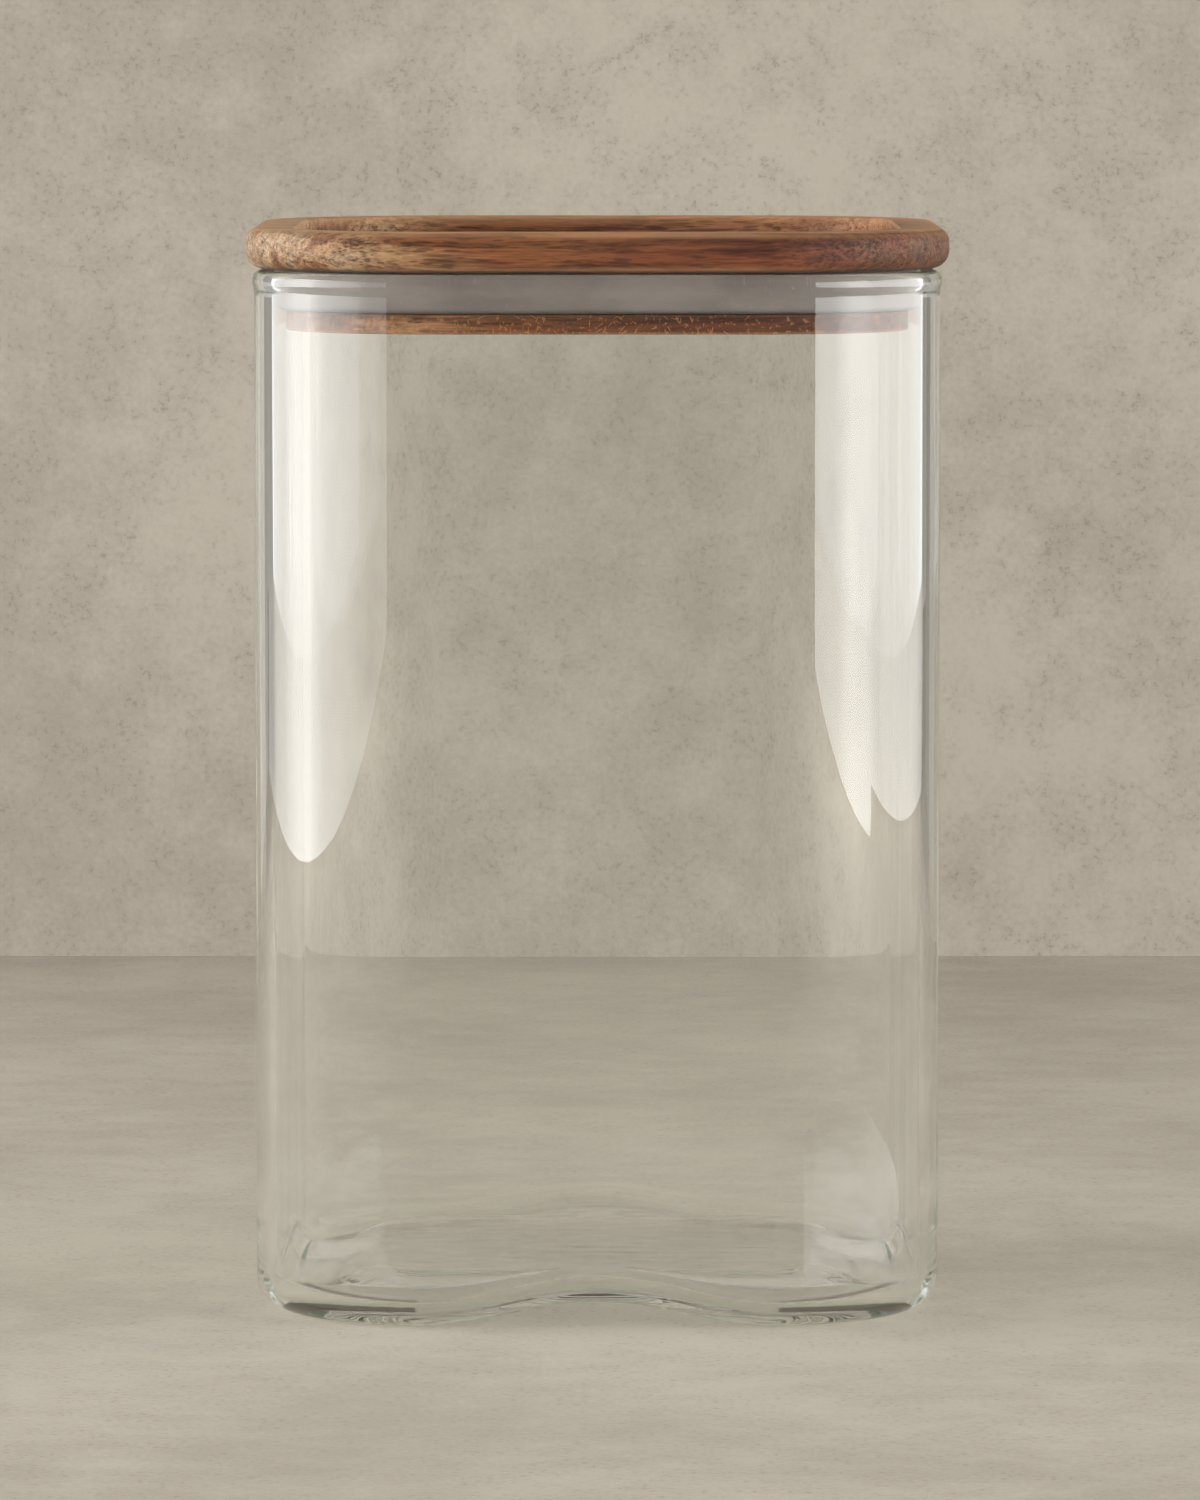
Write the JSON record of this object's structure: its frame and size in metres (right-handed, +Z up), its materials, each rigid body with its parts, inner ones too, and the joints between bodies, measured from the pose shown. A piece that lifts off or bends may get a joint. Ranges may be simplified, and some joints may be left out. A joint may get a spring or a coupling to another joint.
{
  "type": "food canister",
  "caption": "Square clear glass jar with large round corners and low corner feet, and a lift-off wooden lid with a tray top and a silicone seal.",
  "frame": {"origin": "on the table, under the middle of the jar", "axes": "+Z up out of the jar's mouth, -Y the front, +X to the right along the lid's grain"},
  "size_m": [0.1024, 0.1024, 0.1581],
  "materials": {
    "jar_glass": "clear, fire-polished",
    "board_wood": "oiled, satin",
    "plug_wood": "oiled, satin",
    "seal_silicone": "milky, translucent"
  },
  "bodies": {
    "jar": {"glass_jar": "jar_glass"},
    "lid": {"lid_board": "board_wood", "lid_plug": "plug_wood", "seal_ring": "seal_silicone"}
  },
  "joints": [
    {"name": "lid_lift", "type": "slide", "parent": "jar", "child": "lid", "axis": [0, 0, 1], "range_m": [0, 0.12]}
  ]
}
